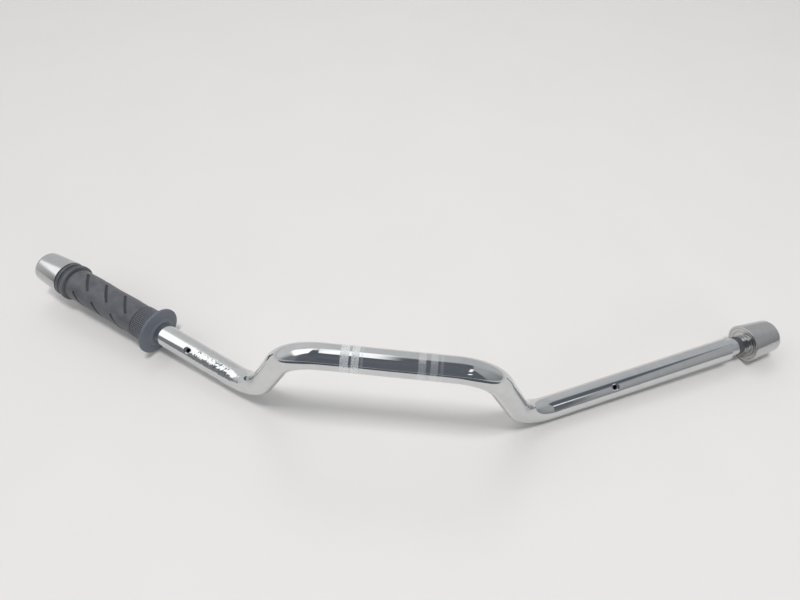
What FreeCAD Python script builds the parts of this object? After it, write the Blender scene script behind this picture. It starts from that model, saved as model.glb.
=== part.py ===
import FreeCAD, Part
import math
import os

# Motorcycle handlebar: one bent steel tube with a rubber grip on the rider's left arm and a
# vibration damper in each end (inner weight on rubber cushions, outer weight, M6 screw).
# It lies the way it is laid down for work: the clamp section is on top, the arms run back (+Y).
# The origin is the middle of the clamp section, +X is one arm, +Z is up. Millimetres.

# --- the bar: a 7/8 inch tube, bent four times on one former
TUBE_R = 11.1
TUBE_BORE_R = 8.8
BEND_R = 43.0
CLAMP_CORNER_X = 82.5
RISE = 100.0
ARM_CORNER_X = 126.5
ARM_CORNER_Y = 18.0
ARM_LENGTH = 226.0
ARM_SWEEP_Y = 0.4155
ARM_LIFT_Z = 0.0325
END_CHAMFER = 0.6

# --- drilled holes, as distances inboard from the tube's end
SWITCH_HOLE_R = 2.5
SWITCH_HOLE_T_RIGHT = -133.0
SWITCH_HOLE_T_LEFT = -148.0
SWITCH_HOLE_TURN = 30.0
TAB_HOLE_R = 2.5
TAB_HOLE_T = -53.0
TAB_HOLE_TURN = 180.0

# --- vibration damper inside the tube's end
COLLAR_R = 8.75
COLLAR_T = (-14.0, 10.5)
ROD_R = 6.5
ROD_T = -91.0
ROD_HEAD_R = 8.2
ROD_HEAD_T = -95.0
THREAD_BORE_R = 3.03
THREAD_BORE_T = -12.0
CUSHION_R = 8.76
CUSHION_BORE_R = 6.54
CUSHION_GROOVE = 0.7
CUSHION_OUTER_T = (-34.0, -16.0)
CUSHION_INNER_T = (-90.0, -72.0)
SLEEVE_R = 7.5
SLEEVE_BORE_R = 6.7
SLEEVE_T = (-68.0, -38.0)
SLEEVE_SLIT = 3.0
TAB_R = 2.2
TAB_TIP_R = 10.9

# --- rubber ring and outer weight
RING_R = 9.2
RING_BORE_R = 3.3
RING_T = (10.5, 16.0)
BOSS_R = 9.0
FACE_T = 21.0
WEIGHT_R = 18.8
WEIGHT_TIP_R = 15.9
WEIGHT_LENGTH = 33.0
WEIGHT_ROUND = 4.0
WEIGHT_EDGE = 0.5
FACE_GROOVES = (12.4, 15.8)
FACE_GROOVE_WIDTH = 0.7
FACE_GROOVE_DEPTH = 0.4
SCREW_HOLE_R = 3.2
SINK_R = 6.2
SINK_DEPTH = 3.0

# --- M6 oval-head screw
SCREW_R = 3.0
SCREW_TIP_T = -6.0
HEAD_R = 6.0
HEAD_DOME = 1.2
CROSS_WIDTH = 1.3
CROSS_LENGTH = 6.4
CROSS_DEPTH = 2.4

# --- left grip
GRIP_BORE_R = 11.13
GRIP_LIP_R = 9.7
GRIP_LIP_T = 0.4
GRIP_R = 16.5
GRIP_END_T = 20.7
FLANGE_R = 24.3
BAND_R = 17.1
BAND_T = (-98.4, -81.0)
BAND_GROOVES = 9
BAND_GROOVE_DEPTH = 0.4
SLOT_T0 = (-3.5, -29.3, -55.0)
SLOT_RUN_T = -15.4
SLOT_TURN = (-33.0, 23.0)
SLOT_ROWS = 4
SLOT_WIDTH = 3.2
SLOT_FLOOR_R = 15.4
SLOT_STATIONS = 9

Vec = FreeCAD.Vector
AXIS = Vec(0, 0, 1)
ZERO = Vec(0, 0, 0)


def unit(vector):
    """The same direction with length one."""
    return vector * (1.0 / vector.Length)


def arm_direction():
    """Direction of the right arm, from its bend out to its end."""
    across = math.sqrt(1.0 - ARM_SWEEP_Y ** 2 - ARM_LIFT_Z ** 2)
    return Vec(across, ARM_SWEEP_Y, ARM_LIFT_Z)


def corner_points():
    """Corners of the bar's centre line, from the left end to the right end."""
    corner = Vec(ARM_CORNER_X, ARM_CORNER_Y, -RISE)
    end = corner + arm_direction() * ARM_LENGTH
    right = [Vec(CLAMP_CORNER_X, 0, 0), corner, end]
    left = [Vec(-p.x, p.y, p.z) for p in reversed(right)]
    return left + right


def on_right_arm(shape):
    """Carry a shape drawn along +Z from the tube's end over to the right arm.

    The shape's +X ends up pointing up, its +Y to the front of the bar.
    """
    along = arm_direction()
    up = unit(AXIS - along * along.z)
    front = along.cross(up)
    end = corner_points()[-1]
    matrix = FreeCAD.Matrix(up.x, front.x, along.x, end.x,
                            up.y, front.y, along.y, end.y,
                            up.z, front.z, along.z, end.z,
                            0, 0, 0, 1)
    placed = shape.copy()
    placed.Placement = FreeCAD.Placement(matrix)
    return placed


def on_left_arm(shape):
    """The mirror image of a right-arm shape, across the bar's middle plane."""
    return on_right_arm(shape).mirror(ZERO, Vec(1, 0, 0))


def turned(outline):
    """Solid of revolution about +Z from (z, radius) points."""
    points = [Vec(radius, 0, z) for z, radius in outline]
    face = Part.Face(Part.makePolygon(points + points[:1]))
    return face.revolve(ZERO, AXIS, 360)


def rod(radius, low, high):
    """Cylinder along +Z between two heights."""
    return Part.makeCylinder(radius, high - low, Vec(0, 0, low))


def radial_rod(radius, z, turn, inner, outer):
    """Small cylinder square to the Z axis, at a turn in degrees from +X towards +Y."""
    angle = math.radians(turn)
    outward = Vec(math.cos(angle), math.sin(angle), 0)
    return Part.makeCylinder(radius, outer - inner, outward * inner + Vec(0, 0, z), outward)


def ring_section(centre, normal):
    """The tube's cross section, square to its centre line."""
    outer = Part.Face(Part.Wire(Part.makeCircle(TUBE_R, centre, normal)))
    inner = Part.Face(Part.Wire(Part.makeCircle(TUBE_BORE_R, centre, normal)))
    return outer.cut(inner).Faces[0]


def tube_lengths():
    """The bar as straight lengths and round bends, in order along the centre line."""
    corners = corner_points()
    lengths = []
    start = corners[0]
    for before, corner, after in zip(corners, corners[1:], corners[2:]):
        inward = unit(corner - before)
        outward = unit(after - corner)
        bend = inward.getAngle(outward)
        setback = BEND_R * math.tan(bend / 2.0)
        foot = corner - inward * setback
        hinge = unit(inward.cross(outward))
        centre = foot + hinge.cross(inward) * BEND_R
        section = ring_section(foot, inward)
        lengths.append(ring_section(start, inward).extrude(foot - start))
        lengths.append(section.revolve(centre, hinge, math.degrees(bend)))
        start = corner + outward * setback
    last = unit(corners[-1] - start)
    lengths.append(ring_section(start, last).extrude(corners[-1] - start))
    return lengths


def end_chamfer_cutter():
    """What is turned away to break the tube's outer end edge."""
    outline = [(-END_CHAMFER, TUBE_R), (0.5, TUBE_R - END_CHAMFER - 0.5),
               (0.5, TUBE_R + 1.0), (-END_CHAMFER, TUBE_R + 1.0)]
    return turned(outline)


def handlebar_tube():
    """Hollow bar with chamfered ends, two switch holes and two holes for the damper tabs."""
    lengths = tube_lengths()
    bar = lengths[0].multiFuse(lengths[1:]).removeSplitter()
    inner = TUBE_BORE_R - 2.0
    outer = TUBE_R + 2.0
    tab_hole = radial_rod(TAB_HOLE_R, TAB_HOLE_T, TAB_HOLE_TURN, inner, outer)
    right_hole = radial_rod(SWITCH_HOLE_R, SWITCH_HOLE_T_RIGHT, SWITCH_HOLE_TURN, inner, outer)
    left_hole = radial_rod(SWITCH_HOLE_R, SWITCH_HOLE_T_LEFT, SWITCH_HOLE_TURN, inner, outer)
    cutters = [on_right_arm(tab_hole), on_left_arm(tab_hole), on_right_arm(right_hole),
               on_left_arm(left_hole), on_right_arm(end_chamfer_cutter()),
               on_left_arm(end_chamfer_cutter())]
    return bar.cut(cutters)


def inner_weight():
    """Steel rod in the tube's end: collar, slim rod for the cushions, head, tapped hole."""
    low, high = COLLAR_T
    edge = 0.6
    outline = [(ROD_HEAD_T, 0), (ROD_HEAD_T, ROD_HEAD_R - edge), (ROD_HEAD_T + edge, ROD_HEAD_R),
               (ROD_T, ROD_HEAD_R), (ROD_T, ROD_R), (low, ROD_R), (low, COLLAR_R - edge),
               (low + edge, COLLAR_R), (high - edge, COLLAR_R), (high, COLLAR_R - edge), (high, 0)]
    return turned(outline).cut(rod(THREAD_BORE_R, THREAD_BORE_T, high + 1.0))


def cushion(span):
    """Rubber sleeve between rod and tube, with two grooves that let it give."""
    low, high = span
    third = (high - low) / 3.0
    half_groove = 1.0
    outline = [(low, CUSHION_BORE_R), (low, CUSHION_R)]
    for middle in (low + third, high - third):
        outline += [(middle - half_groove, CUSHION_R), (middle, CUSHION_R - CUSHION_GROOVE),
                    (middle + half_groove, CUSHION_R)]
    outline += [(high, CUSHION_R), (high, CUSHION_BORE_R)]
    return turned(outline)


def retainer():
    """Slit spring-steel sleeve whose tab snaps into the tube's small hole."""
    low, high = SLEEVE_T
    sleeve = rod(SLEEVE_R, low, high).cut(rod(SLEEVE_BORE_R, low, high))
    slit = Part.makeBox(SLEEVE_R + 2.0, SLEEVE_SLIT, high - low,
                        Vec(0, -SLEEVE_SLIT / 2.0, low))
    tab = radial_rod(TAB_R, TAB_HOLE_T, TAB_HOLE_TURN, SLEEVE_BORE_R + 0.4, TAB_TIP_R)
    return sleeve.cut(slit).fuse(tab).removeSplitter()


def rubber_ring():
    """Soft ring squeezed between the inner weight's collar and the outer weight's boss."""
    low, high = RING_T
    edge = 0.8
    outline = [(low, RING_BORE_R), (low, RING_R - edge), (low + edge, RING_R),
               (high - edge, RING_R), (high, RING_R - edge), (high, RING_BORE_R)]
    return turned(outline)


def outer_weight():
    """Tapered weight with a boss, turned face grooves, rounded tip and a sunk screw seat."""
    tip = FACE_T + WEIGHT_LENGTH
    outline = [(RING_T[1], SCREW_HOLE_R), (RING_T[1], BOSS_R), (FACE_T, BOSS_R)]
    for radius in FACE_GROOVES:
        floor = FACE_T + FACE_GROOVE_DEPTH
        outline += [(FACE_T, radius), (floor, radius), (floor, radius + FACE_GROOVE_WIDTH),
                    (FACE_T, radius + FACE_GROOVE_WIDTH)]
    outline += [(FACE_T, WEIGHT_R - WEIGHT_EDGE), (FACE_T + WEIGHT_EDGE, WEIGHT_R)]
    points = [Vec(radius, 0, z) for z, radius in outline]
    shoulder = Vec(WEIGHT_TIP_R, 0, tip - WEIGHT_ROUND)
    cheek = WEIGHT_ROUND * math.sin(math.radians(45))
    middle = Vec(WEIGHT_TIP_R - WEIGHT_ROUND + cheek, 0, tip - WEIGHT_ROUND + cheek)
    crown = Vec(WEIGHT_TIP_R - WEIGHT_ROUND, 0, tip)
    seat = [Vec(SINK_R, 0, tip), Vec(SCREW_HOLE_R, 0, tip - SINK_DEPTH)]
    corner = Part.Arc(shoulder, middle, crown).toShape()
    lower = Part.makePolygon(points + [shoulder])
    upper = Part.makePolygon([crown] + seat + points[:1])
    profile = Part.Wire(lower.Edges + [corner] + upper.Edges)
    return Part.Face(profile).revolve(ZERO, AXIS, 360)


def end_screw():
    """M6 oval-head screw that pulls outer weight, ring and inner weight together."""
    seat = FACE_T + WEIGHT_LENGTH
    neck = seat - (HEAD_R - SCREW_R)
    edge = 0.7
    points = [Vec(0, 0, SCREW_TIP_T), Vec(SCREW_R - edge, 0, SCREW_TIP_T),
              Vec(SCREW_R, 0, SCREW_TIP_T + edge), Vec(SCREW_R, 0, neck), Vec(HEAD_R, 0, seat)]
    crown = Vec(0, 0, seat + HEAD_DOME)
    middle = Vec(HEAD_R * 0.52, 0, seat + HEAD_DOME * 0.74)
    dome = Part.Arc(points[-1], middle, crown).toShape()
    stem = Part.makePolygon(points)
    close = Part.makeLine(crown, points[0])
    screw = Part.Face(Part.Wire(stem.Edges + [dome, close])).revolve(ZERO, AXIS, 360)
    floor = seat + HEAD_DOME - CROSS_DEPTH
    bar = Part.makeBox(CROSS_LENGTH, CROSS_WIDTH, CROSS_DEPTH + 1.0,
                       Vec(-CROSS_LENGTH / 2.0, -CROSS_WIDTH / 2.0, floor))
    across = bar.copy()
    across.rotate(ZERO, AXIS, 90)
    return screw.cut(bar.fuse(across))


def grip_band():
    """Outline of the finely ribbed band next to the flange."""
    low, high = BAND_T
    pitch = (high - low) / BAND_GROOVES
    outline = []
    for count in range(BAND_GROOVES):
        start = low + count * pitch
        outline += [(start, BAND_R), (start + 0.5 * pitch, BAND_R),
                    (start + 0.62 * pitch, BAND_R - BAND_GROOVE_DEPTH),
                    (start + 0.88 * pitch, BAND_R - BAND_GROOVE_DEPTH)]
    return outline + [(high, BAND_R)]


def grip_body():
    """Grip turned as one piece: collar, flange, ribbed band, body, end beads and lip."""
    flange = [(-107.5, GRIP_BORE_R), (-107.5, 12.6), (-106.5, 13.6), (-105.2, 14.4),
              (-103.9, 23.4), (-102.9, FLANGE_R), (-101.3, FLANGE_R), (-100.5, 23.5),
              (-99.8, 18.6), (-99.0, 17.5)]
    body = [(-80.4, GRIP_R), (8.2, GRIP_R), (8.3, 15.9), (9.0, 15.9)]
    beads = [(9.2, 18.5), (10.0, 19.3), (12.6, 19.3), (13.5, 18.5), (13.9, 17.1),
             (14.7, 17.1), (15.1, 17.8), (16.0, 17.8), (16.3, 16.9), (16.7, 16.9),
             (17.1, 17.9), (17.6, 18.3), (20.1, 18.3), (GRIP_END_T, 17.7)]
    lip = [(GRIP_END_T, GRIP_LIP_R), (GRIP_LIP_T, GRIP_LIP_R), (GRIP_LIP_T, GRIP_BORE_R)]
    return turned(flange + grip_band() + body + beads + lip)


def grip_slot(start_t, row):
    """Cutter for one slanted slot that winds part of the way round the grip."""
    sections = []
    slope = math.atan2(SLOT_RUN_T, GRIP_R * math.radians(SLOT_TURN[1] - SLOT_TURN[0]))
    for count in range(SLOT_STATIONS):
        part = count / (SLOT_STATIONS - 1.0)
        turn = SLOT_TURN[0] + part * (SLOT_TURN[1] - SLOT_TURN[0]) + row * 360.0 / SLOT_ROWS
        angle = math.radians(turn)
        outward = Vec(math.cos(angle), math.sin(angle), 0)
        around = Vec(-math.sin(angle), math.cos(angle), 0)
        sideways = (AXIS * math.cos(slope) - around * math.sin(slope)) * (SLOT_WIDTH / 2.0)
        low = outward * SLOT_FLOOR_R + Vec(0, 0, start_t + part * SLOT_RUN_T)
        high = low + outward * (GRIP_R + 1.5 - SLOT_FLOOR_R)
        corners = [low - sideways, low + sideways, high + sideways, high - sideways]
        sections.append(Part.makePolygon(corners + corners[:1]))
    return Part.makeLoft(sections, True)


def left_grip():
    """Rubber grip with rows of slanted slots, glued on the rider's left arm."""
    cutters = []
    for row in range(SLOT_ROWS):
        for start_t in SLOT_T0:
            cutters.append(grip_slot(start_t, row))
    return grip_body().cut(cutters)


def write(name, shape):
    """Save one sub-part as its own STEP file."""
    if not shape.isValid():
        shape.fix(0.001, 0.001, 0.001)
    shape.exportStep("parts/" + name + ".step")
    print(name, shape.ShapeType, len(shape.Solids), round(shape.Volume / 1000.0, 2), shape.isValid())


os.makedirs("parts", exist_ok=True)
write("handlebar_tube", handlebar_tube())
write("left_grip", on_left_arm(left_grip()))
PAIRS = {
    "inner_weight": inner_weight(),
    "cushion_outer": cushion(CUSHION_OUTER_T),
    "cushion_inner": cushion(CUSHION_INNER_T),
    "retainer": retainer(),
    "rubber_ring": rubber_ring(),
    "outer_weight": outer_weight(),
    "end_screw": end_screw(),
}
for name, shape in PAIRS.items():
    write(name + "_right", on_right_arm(shape))
    write(name + "_left", on_left_arm(shape))
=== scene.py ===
# %% [markdown]
# # A motorcycle handlebar, laid upside down on a pale bench
#
# The bar is one chrome plated steel tube with four bends. The rider's left arm carries a
# moulded rubber grip, the other arm is bare, and a tapered weight closes each end.
# The exact CAD model is loaded first and never touched. The pieces one can see up close
# (tube, grip, weights, rings, screws) are then made again as finer meshes that stand for
# their CAD nodes, because chrome shows every flat facet and rubber shows every sharp edge.

import math

import bmesh
import bpy
from mathutils import Matrix, Vector


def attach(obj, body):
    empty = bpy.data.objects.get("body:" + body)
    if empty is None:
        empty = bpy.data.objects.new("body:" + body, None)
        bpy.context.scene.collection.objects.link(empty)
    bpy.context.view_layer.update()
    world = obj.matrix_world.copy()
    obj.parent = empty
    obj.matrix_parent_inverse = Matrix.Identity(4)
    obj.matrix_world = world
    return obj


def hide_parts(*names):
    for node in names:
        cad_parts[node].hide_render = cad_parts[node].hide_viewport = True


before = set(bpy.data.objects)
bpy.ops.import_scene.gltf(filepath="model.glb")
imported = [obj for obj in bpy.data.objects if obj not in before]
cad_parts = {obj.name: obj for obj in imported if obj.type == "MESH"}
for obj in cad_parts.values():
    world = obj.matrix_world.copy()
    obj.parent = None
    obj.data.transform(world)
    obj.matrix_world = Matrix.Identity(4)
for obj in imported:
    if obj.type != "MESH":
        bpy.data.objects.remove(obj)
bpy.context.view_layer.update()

# %% [markdown]
# Everything is drawn in millimetres and written to Blender in metres. The bar's own sizes come
# first: a 22.2 mm tube (the 7/8 inch of every road bar), bent on a 43 mm former.

# %% The bar's sizes
MM = 0.001
TUBE_R = 11.1
BORE_R = 8.8
BEND_R = 43.0
ARM_ALONG = Vector((math.sqrt(1.0 - 0.4155 ** 2 - 0.0325 ** 2), 0.4155, 0.0325))
ARM_CORNER = Vector((126.5, 18.0, -100.0))
ARM_LENGTH = 226.0
CLAMP_CORNER = Vector((82.5, 0.0, 0.0))


def flipped(point):
    """The same point on the other side of the bar's middle plane."""
    return Vector((-point.x, point.y, point.z))


right_end = ARM_CORNER + ARM_ALONG * ARM_LENGTH
corners = [flipped(right_end), flipped(ARM_CORNER), flipped(CLAMP_CORNER),
           CLAMP_CORNER, ARM_CORNER, right_end]
print("bar corners, mm:", [tuple(round(v, 1) for v in c) for c in corners])

# %% [markdown]
# Grip, weights and screws are all turned or moulded round an arm's axis, so each is drawn in
# the arm's own frame: the origin at the tube's end, +Z outward along the tube, +X upward.
# The object then gets that frame as its transform, and its material can use plain object
# coordinates, with Z along the arm.

# %% The arms' frames


def arm_frame(along, end):
    """Transform from an arm's own frame (metres) to the bar's frame."""
    up = (Vector((0, 0, 1)) - along * along.z).normalized()
    side = along.cross(up)
    turn = Matrix((up, side, along)).transposed().to_4x4()
    return Matrix.Translation(end * MM) @ turn


FRAMES = {"right": arm_frame(ARM_ALONG, right_end),
          "left": arm_frame(flipped(ARM_ALONG), flipped(right_end))}
print("right arm's end:", tuple(round(v, 4) for v in FRAMES["right"].translation))

# %% [markdown]
# ## Helpers for meshes
#
# A turned piece is a list of points (distance along the axis, radius). Real edges are never
# razor sharp, so every corner of the list is rounded by a small arc before it is spun.

# %% Meshes and objects


def to_mesh(build, name):
    """Mesh from a finished bmesh."""
    mesh = bpy.data.meshes.new(name)
    build.to_mesh(mesh)
    build.free()
    return mesh


def linked(name, data):
    """Object for a mesh, lamp or camera, in the scene."""
    made = bpy.data.objects.new(name, data)
    bpy.context.scene.collection.objects.link(made)
    return made


# %% Rounding an outline


def rounded(outline, radius, steps=4):
    """Replace each inner corner of an open outline by a small arc of points."""
    points = [Vector(p) for p in outline]
    smooth = [points[0]]
    for before, corner, after in zip(points, points[1:], points[2:]):
        back = before - corner
        ahead = after - corner
        reach = min(radius, back.length * 0.45, ahead.length * 0.45)
        start = corner + back.normalized() * reach
        finish = corner + ahead.normalized() * reach
        for count in range(steps + 1):
            part = count / steps
            one = start.lerp(corner, part)
            two = corner.lerp(finish, part)
            smooth.append(one.lerp(two, part))
    return smooth + [points[-1]]


# %% Spinning an outline
ON_AXIS = 1e-6


def spin(name, outline, around=128, shape=None):
    """Mesh of revolution about Z from (z, radius) points in mm; shape may move each point."""
    build = bmesh.new()
    rings = []
    for z, radius in outline:
        if radius < ON_AXIS:
            rings.append([build.verts.new((0, 0, z * MM))])
            continue
        ring = []
        for count in range(around):
            turn = math.tau * count / around
            out = shape(z, radius, turn) if shape else radius
            ring.append(build.verts.new((out * MM * math.cos(turn), out * MM * math.sin(turn),
                                         z * MM)))
        rings.append(ring)
    for low, high in zip(rings, rings[1:]):
        for count in range(around):
            after = (count + 1) % around
            corner_list = [low[count % len(low)], low[after % len(low)],
                           high[after % len(high)], high[count % len(high)]]
            unique = list(dict.fromkeys(corner_list))
            if len(unique) > 2:
                build.faces.new(unique)
    bmesh.ops.recalc_face_normals(build, faces=build.faces)
    for face in build.faces:
        face.smooth = True
    return to_mesh(build, name)


def closed(outline):
    """The outline with its first point repeated at the end, so the spun skin closes."""
    return list(outline) + [outline[0]]


# %% Placing a piece


def piece(name, mesh, material, nodes=(), side=None):
    """Object for a mesh: placed on its arm, riding on the bar, standing for CAD nodes."""
    made = linked(name, mesh)
    if side:
        made.matrix_world = FRAMES[side]
    mesh.materials.append(material)
    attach(made, "root")
    if nodes:
        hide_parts(*nodes)
    print(name, len(mesh.vertices), "points")
    return made


# %% [markdown]
# ## Helpers for materials
#
# Colours are written as the hex values one reads off a screen and turned to linear light by
# one function. One more function adds a node with its settings and its links. Several plain
# finishes (bare steel, oiled steel, laminate, paint, plaster) differ only in their values: soft
# noise drifts between two colours and two roughnesses, so they share one start.

# %% Colours and nodes


def linear(hex_colour):
    """sRGB hex to a linear RGBA colour."""
    values = [int(hex_colour[i:i + 2], 16) / 255.0 for i in (1, 3, 5)]
    spread = [v / 12.92 if v <= 0.04045 else ((v + 0.055) / 1.055) ** 2.4 for v in values]
    return (*spread, 1.0)


def add(tree, kind, inputs=None, **settings):
    """Add one node, set its settings, then set or link its inputs."""
    node = tree.nodes.new(kind)
    for name, value in settings.items():
        setattr(node, name, value)
    for key, value in (inputs or {}).items():
        if isinstance(value, bpy.types.NodeSocket):
            tree.links.new(value, node.inputs[key])
        else:
            node.inputs[key].default_value = value
    return node


def new_material(name):
    """Material with an empty node tree and its output node."""
    material = bpy.data.materials.new(name)
    material.use_nodes = True
    material.node_tree.nodes.clear()
    return material, material.node_tree


def finish_material(tree, inputs):
    """Close a material with one Principled shader."""
    shader = add(tree, "ShaderNodeBsdfPrincipled", inputs)
    add(tree, "ShaderNodeOutputMaterial", {"Surface": shader.outputs[0]})


# %% A mottled finish


def mottled(name, patch_mm, detail, colours, rough=None):
    """Material, tree, patches and inputs of a finish that drifts between two hex colours."""
    material, tree = new_material(name)
    place = add(tree, "ShaderNodeTexCoord").outputs["Object"]
    patches = add(tree, "ShaderNodeTexNoise", {"Vector": place, "Scale": 1.0 / (patch_mm * MM),
                                               "Detail": detail})
    colour = add(tree, "ShaderNodeMix", {"Factor": patches.outputs[0], 6: linear(colours[0]),
                                         7: linear(colours[1])}, data_type="RGBA")
    inputs = {"Base Color": colour.outputs[2]}
    if rough:
        drift = add(tree, "ShaderNodeMapRange", {"Value": patches.outputs[0],
                                                 "To Min": rough[0], "To Max": rough[1]})
        inputs["Roughness"] = drift.outputs[0]
    return material, tree, patches, inputs


# %% [markdown]
# ## Bright chrome on a steel tube
#
# Decorative chrome is a mirror: metallic, almost no roughness, a neutral grey that is a touch
# darker than silver. What makes it look real is what it mirrors and its small faults: the
# drawn tube is never perfectly round, so straight reflections waver a little, years of wiping
# leave hair scratches, and a thin film of dust drifts over it with a dull speck here and
# there. In two pairs of bands the handlebar clamps have rubbed the plating pale and dull, and
# on the left arm a lever clamp was slid along and left shallow dents, which tear a straight
# highlight to shreds. The scale of each pattern is a real one: waves about 30 mm long, film
# 11 mm, dents 5 mm, clamp grain 0.7 mm, specks 0.9 mm, and scratches a few hundredths wide
# drawn at 0.4 mm so that they show.

# %% Worn places on the bar, along the bar in mm
BAND_EDGE = 0.3
SEAT_START = (-208.0, -186.0)
SEAT_STOP = (-134.0, -146.0)
CLAMP_BANDS = ((-37.8, -31.0, 1.0), (-28.9, -22.8, 1.0), (-21.6, -19.6, 0.3),
               (23.8, 29.7, 0.45), (33.3, 39.0, 0.42), (41.0, 43.4, 0.2))


def band_mask(tree, along, depth):
    """Sum of soft-edged bands across the clamp section, each with its own strength."""
    total = None
    for low, high, strength in CLAMP_BANDS:
        rise = add(tree, "ShaderNodeMapRange",
                   {"Value": along, "From Min": (low - BAND_EDGE) * MM,
                    "From Max": (low + BAND_EDGE) * MM}, interpolation_type="SMOOTHSTEP")
        fall = add(tree, "ShaderNodeMapRange",
                   {"Value": along, "From Min": (high - BAND_EDGE) * MM,
                    "From Max": (high + BAND_EDGE) * MM, "To Min": strength, "To Max": 0.0},
                   interpolation_type="SMOOTHSTEP")
        one = add(tree, "ShaderNodeMath", {0: rise.outputs[0], 1: fall.outputs[0]},
                  operation="MULTIPLY")
        total = one if total is None else add(
            tree, "ShaderNodeMath", {0: total.outputs[0], 1: one.outputs[0]}, operation="ADD")
    near = add(tree, "ShaderNodeMapRange", {"Value": depth, "From Min": -14 * MM,
                                            "From Max": -12 * MM})
    return add(tree, "ShaderNodeMath", {0: total.outputs[0], 1: near.outputs[0]},
               operation="MULTIPLY")


def spots(tree, place, apart_mm, size_mm):
    """Mask of small round spots scattered at random."""
    cells = add(tree, "ShaderNodeTexVoronoi", {"Vector": place, "Scale": 1.0 / (apart_mm * MM)})
    return add(tree, "ShaderNodeMapRange", {"Value": cells.outputs[0],
                                            "From Min": 0.7 * size_mm / apart_mm,
                                            "From Max": 0.4 * size_mm / apart_mm})


def scuffed_seat(tree, where):
    """Mask of the left arm's inboard half, where a lever clamp was slid and tightened."""
    along, stop = [add(tree, "ShaderNodeMapRange",
                       {"Value": where.outputs[0], "From Min": outer * MM,
                        "From Max": inner * MM}, interpolation_type="SMOOTHSTEP")
                   for outer, inner in (SEAT_START, SEAT_STOP)]
    return add(tree, "ShaderNodeMath", {0: along.outputs[0], 1: stop.outputs[0]},
               operation="MULTIPLY")


# %% Chrome material for the bar


def bar_chrome():
    """Bright chrome plate with film, scratches, specks, dents and dull clamp bands."""
    material, tree = new_material("bright_chrome_plate")
    place = add(tree, "ShaderNodeTexCoord").outputs["Object"]
    where = add(tree, "ShaderNodeSeparateXYZ", {0: place})
    bands = band_mask(tree, where.outputs[0], where.outputs[2])
    grain = add(tree, "ShaderNodeTexVoronoi", {"Vector": place, "Scale": 1.0 / (0.7 * MM)})
    patch = add(tree, "ShaderNodeTexNoise", {"Vector": place, "Scale": 1.0 / (1.4 * MM),
                                             "Detail": 5.0})
    bite = add(tree, "ShaderNodeMapRange", {"Value": patch.outputs[0], "From Min": 0.34,
                                            "From Max": 0.52, "To Min": 0.72})
    worn = add(tree, "ShaderNodeMath", {0: bands.outputs[0], 1: bite.outputs[0]},
               operation="MULTIPLY")
    dirt = spots(tree, place, 9.0, 0.9)
    dulled = add(tree, "ShaderNodeMath", {0: dirt.outputs[0], 1: 0.55, 2: worn.outputs[0]},
                 operation="MULTIPLY_ADD", use_clamp=True)
    stretched = add(tree, "ShaderNodeMapping", {"Vector": place, "Rotation": (0.3, 0.5, 0.9),
                                                "Scale": (90.0, 2500.0, 2500.0)})
    hair = add(tree, "ShaderNodeTexNoise", {"Vector": stretched.outputs[0], "Scale": 1.0,
                                            "Detail": 2.0})
    scratch = add(tree, "ShaderNodeMapRange", {"Value": hair.outputs[0], "From Min": 0.6,
                                               "From Max": 0.75, "To Min": 0.045, "To Max": 0.2})
    rough = add(tree, "ShaderNodeMapRange", {"Value": dulled.outputs[0],
                                             "To Min": scratch.outputs[0], "To Max": 0.32})
    film = add(tree, "ShaderNodeTexNoise", {"Vector": place, "Scale": 1.0 / (11.0 * MM),
                                            "Detail": 4.0})
    haze = add(tree, "ShaderNodeMix", {"Factor": film.outputs[0], 6: linear("#dadcde"),
                                       7: linear("#cbcccb")}, data_type="RGBA")
    tint = add(tree, "ShaderNodeMix", {"Factor": dulled.outputs[0], 6: haze.outputs[2],
                                       7: linear("#e4e8e8")}, data_type="RGBA")
    metal = add(tree, "ShaderNodeMapRange", {"Value": dulled.outputs[0], "To Min": 1.0,
                                             "To Max": 0.6})
    wave = add(tree, "ShaderNodeTexNoise", {"Vector": place, "Scale": 1.0 / (30.0 * MM),
                                            "Detail": 1.0})
    wavy = add(tree, "ShaderNodeBump", {"Height": wave.outputs[0], "Strength": 0.5,
                                        "Distance": 0.12 * MM})
    dents = add(tree, "ShaderNodeTexNoise", {"Vector": place, "Scale": 1.0 / (5.0 * MM),
                                             "Detail": 2.0})
    seat = scuffed_seat(tree, where)
    dented = add(tree, "ShaderNodeMath", {0: dents.outputs[0], 1: seat.outputs[0]},
                 operation="MULTIPLY")
    rubbed = add(tree, "ShaderNodeBump", {"Height": dented.outputs[0], "Strength": 1.0,
                                          "Distance": 0.35 * MM, "Normal": wavy.outputs[0]})
    bitten = add(tree, "ShaderNodeMath", {0: grain.outputs[0], 1: worn.outputs[0]},
                 operation="MULTIPLY")
    bump = add(tree, "ShaderNodeBump", {"Height": bitten.outputs[0], "Strength": 0.3,
                                        "Distance": 0.05 * MM, "Normal": rubbed.outputs[0]})
    finish_material(tree, {"Base Color": tint.outputs[2], "Metallic": metal.outputs[0],
                           "Roughness": rough.outputs[0], "Normal": bump.outputs[0]})
    return material


CHROME = bar_chrome()


# %% [markdown]
# Chrome doesn't reach into a tube. Inside, and in the drilled holes, the steel is bare and has
# gone matt, so it is a duller, half metallic grey that still shows the wall in the holes.

# %% Bare steel


def bare_steel():
    """Unplated steel inside the tube and in its holes, matt and dusty."""
    material, tree, _, inputs = mottled("bare_cut_steel", 1.5, 4.0, ("#d6d6d5", "#b9b9b6"),
                                        (0.5, 0.7))
    finish_material(tree, inputs | {"Metallic": 0.3})
    return material


BARE_STEEL = bare_steel()
print("materials", CHROME.name, BARE_STEEL.name)

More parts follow.
